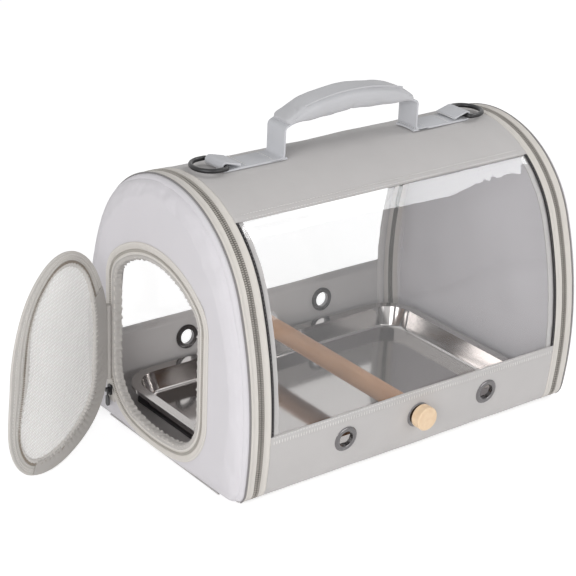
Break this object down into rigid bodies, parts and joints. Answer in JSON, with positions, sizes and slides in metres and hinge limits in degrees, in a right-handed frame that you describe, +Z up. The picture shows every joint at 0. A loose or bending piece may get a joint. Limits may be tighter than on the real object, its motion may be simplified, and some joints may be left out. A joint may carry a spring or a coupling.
{
  "type": "bird travel carrier",
  "caption": "Soft-sided arched travel carrier for a small bird, with clear windows, a zipped mesh door, an inside perch on eyelets, a metal tray, a padded handle and D-rings.",
  "frame": {"origin": "middle of the flat underside, on the surface that the carrier stands on", "axes": "+X along the body away from the door end, -Y towards the front window, +Z up"},
  "size_m": [0.5824, 0.2964, 0.337],
  "materials": {
    "panel_fabric": "padded woven cloth",
    "body_fabric": "padded woven cloth",
    "clear_vinyl": "clear",
    "zip_tape": "herringbone tape",
    "edging_tape": "woven, black",
    "coil_nylon": "satin",
    "piping_cord": "woven",
    "eyelet_metal": "dark nickel",
    "spring_steel": "bright",
    "stiff_board": "matt",
    "binding_fabric": "gathered cloth",
    "net_mesh": "knitted mesh",
    "black_metal": "satin black",
    "webbing": "woven webbing",
    "grip_fabric": "stitched cloth",
    "foam": "soft foam",
    "perch_wood": "plain sanded",
    "stud_steel": "bright",
    "knob_wood": "sanded, pale",
    "tray_steel": "polished"
  },
  "bodies": {
    "shell": {"roof_panel": "body_fabric", "front_band": "body_fabric", "rear_band": "body_fabric", "front_window": "clear_vinyl", "rear_window": "clear_vinyl", "front_window_edging": "edging_tape", "rear_window_edging": "edging_tape", "eyelet_front_left": "eyelet_metal", "eyelet_front_middle": "eyelet_metal", "eyelet_front_right": "eyelet_metal", "eyelet_rear_left": "eyelet_metal", "eyelet_rear_middle": "eyelet_metal", "eyelet_rear_right": "eyelet_metal", "base_fabric": "body_fabric", "base_board": "stiff_board", "left_hoop_casing": "body_fabric", "left_hoop": "spring_steel", "left_body_zip_tape": "zip_tape", "left_body_zip_coil": "coil_nylon", "left_strap": "webbing", "right_hoop_casing": "body_fabric", "right_hoop": "spring_steel", "right_body_zip_tape": "zip_tape", "right_body_zip_coil": "coil_nylon", "right_strap": "webbing"},
    "left_end": {"left_panel": "panel_fabric", "left_piping": "piping_cord", "left_panel_zip_coil": "coil_nylon", "left_panel_zip_tape": "zip_tape", "opening_zip_tape": "zip_tape", "opening_zip_coil": "coil_nylon", "opening_binding": "binding_fabric", "door_hinge": "binding_fabric"},
    "right_end": {"right_panel": "panel_fabric", "right_piping": "piping_cord", "right_panel_zip_coil": "coil_nylon", "right_panel_zip_tape": "zip_tape"},
    "door": {"door_zip_tape": "zip_tape", "door_zip_coil": "coil_nylon", "door_binding": "binding_fabric", "door_net": "net_mesh"},
    "handle": {"handle_webbing": "webbing", "grip_cover": "grip_fabric", "grip_padding": "foam"},
    "left_ring": {"left_d_ring": "black_metal"},
    "right_ring": {"right_d_ring": "black_metal"},
    "perch": {"perch_dowel": "perch_wood", "perch_studs": "stud_steel"},
    "front_cap": {"front_knob": "knob_wood"},
    "rear_cap": {"rear_knob": "knob_wood"},
    "litter_tray": {"tray": "tray_steel"},
    "left_slider": {"left_zip_slider": "black_metal"},
    "left_pull": {"left_zip_pull": "black_metal"},
    "right_slider": {"right_zip_slider": "black_metal"},
    "right_pull": {"right_zip_pull": "black_metal"},
    "door_slider": {"door_zip_slider": "black_metal"},
    "door_pull": {"door_zip_pull": "black_metal"}
  },
  "joints": [
    {"name": "left_end_unzip", "type": "hinge", "parent": "shell", "child": "left_end", "pos_m": [-0.214, 0, 0], "axis": [0, -1, 0], "range_deg": [0, 88]},
    {"name": "right_end_unzip", "type": "hinge", "parent": "shell", "child": "right_end", "pos_m": [0.214, 0, 0], "axis": [0, 1, 0], "range_deg": [0, 88]},
    {"name": "door_swing", "type": "hinge", "parent": "left_end", "child": "door", "pos_m": [-0.2178, 0.077, 0.052], "axis": [0, 0, -1], "range_deg": [-62.7, 82]},
    {"name": "handle_lean", "type": "hinge", "parent": "shell", "child": "handle", "pos_m": [0, 0, 0.2874], "axis": [1, 0, 0], "range_deg": [-50, 50]},
    {"name": "left_ring_swing", "type": "hinge", "parent": "shell", "child": "left_ring", "pos_m": [-0.148, 0, 0.2846], "axis": [0, 1, 0], "range_deg": [0, 150]},
    {"name": "right_ring_swing", "type": "hinge", "parent": "shell", "child": "right_ring", "pos_m": [0.148, 0, 0.2846], "axis": [0, -1, 0], "range_deg": [0, 150]},
    {"name": "perch_turn", "type": "hinge", "parent": "shell", "child": "perch", "pos_m": [0, 0, 0.043], "axis": [0, 1, 0], "continuous": true},
    {"name": "front_knob_pull", "type": "slide", "parent": "perch", "child": "front_cap", "axis": [0, -1, 0], "range_m": [0, 0.012]},
    {"name": "rear_knob_pull", "type": "slide", "parent": "perch", "child": "rear_cap", "axis": [0, 1, 0], "range_m": [0, 0.012]},
    {"name": "tray_slide", "type": "slide", "parent": "shell", "child": "litter_tray", "axis": [1, 0, 0], "range_m": [-0.016, 0.016]},
    {"name": "left_slider_run", "type": "hinge", "parent": "shell", "child": "left_slider", "pos_m": [-0.189, -0.23333, 0.075], "axis": [1, 0, 0], "range_deg": [0, 26.7]},
    {"name": "left_pull_swing", "type": "hinge", "parent": "left_slider", "child": "left_pull", "pos_m": [-0.189, 0.13608, 0.02387], "axis": [1, 0, 0], "range_deg": [-5, 160]},
    {"name": "right_slider_run", "type": "hinge", "parent": "shell", "child": "right_slider", "pos_m": [0.189, -0.23333, 0.075], "axis": [1, 0, 0], "range_deg": [0, 26.7]},
    {"name": "right_pull_swing", "type": "hinge", "parent": "right_slider", "child": "right_pull", "pos_m": [0.189, 0.13608, 0.02387], "axis": [1, 0, 0], "range_deg": [-5, 160]},
    {"name": "door_slider_run", "type": "slide", "parent": "left_end", "child": "door_slider", "axis": [0, 0, -1], "range_m": [0, 0.006]},
    {"name": "door_pull_swing", "type": "hinge", "parent": "door_slider", "child": "door_pull", "pos_m": [-0.2186, 0.0775, 0.0385], "axis": [0, 1, 0], "range_deg": [0, 40]}
  ]
}
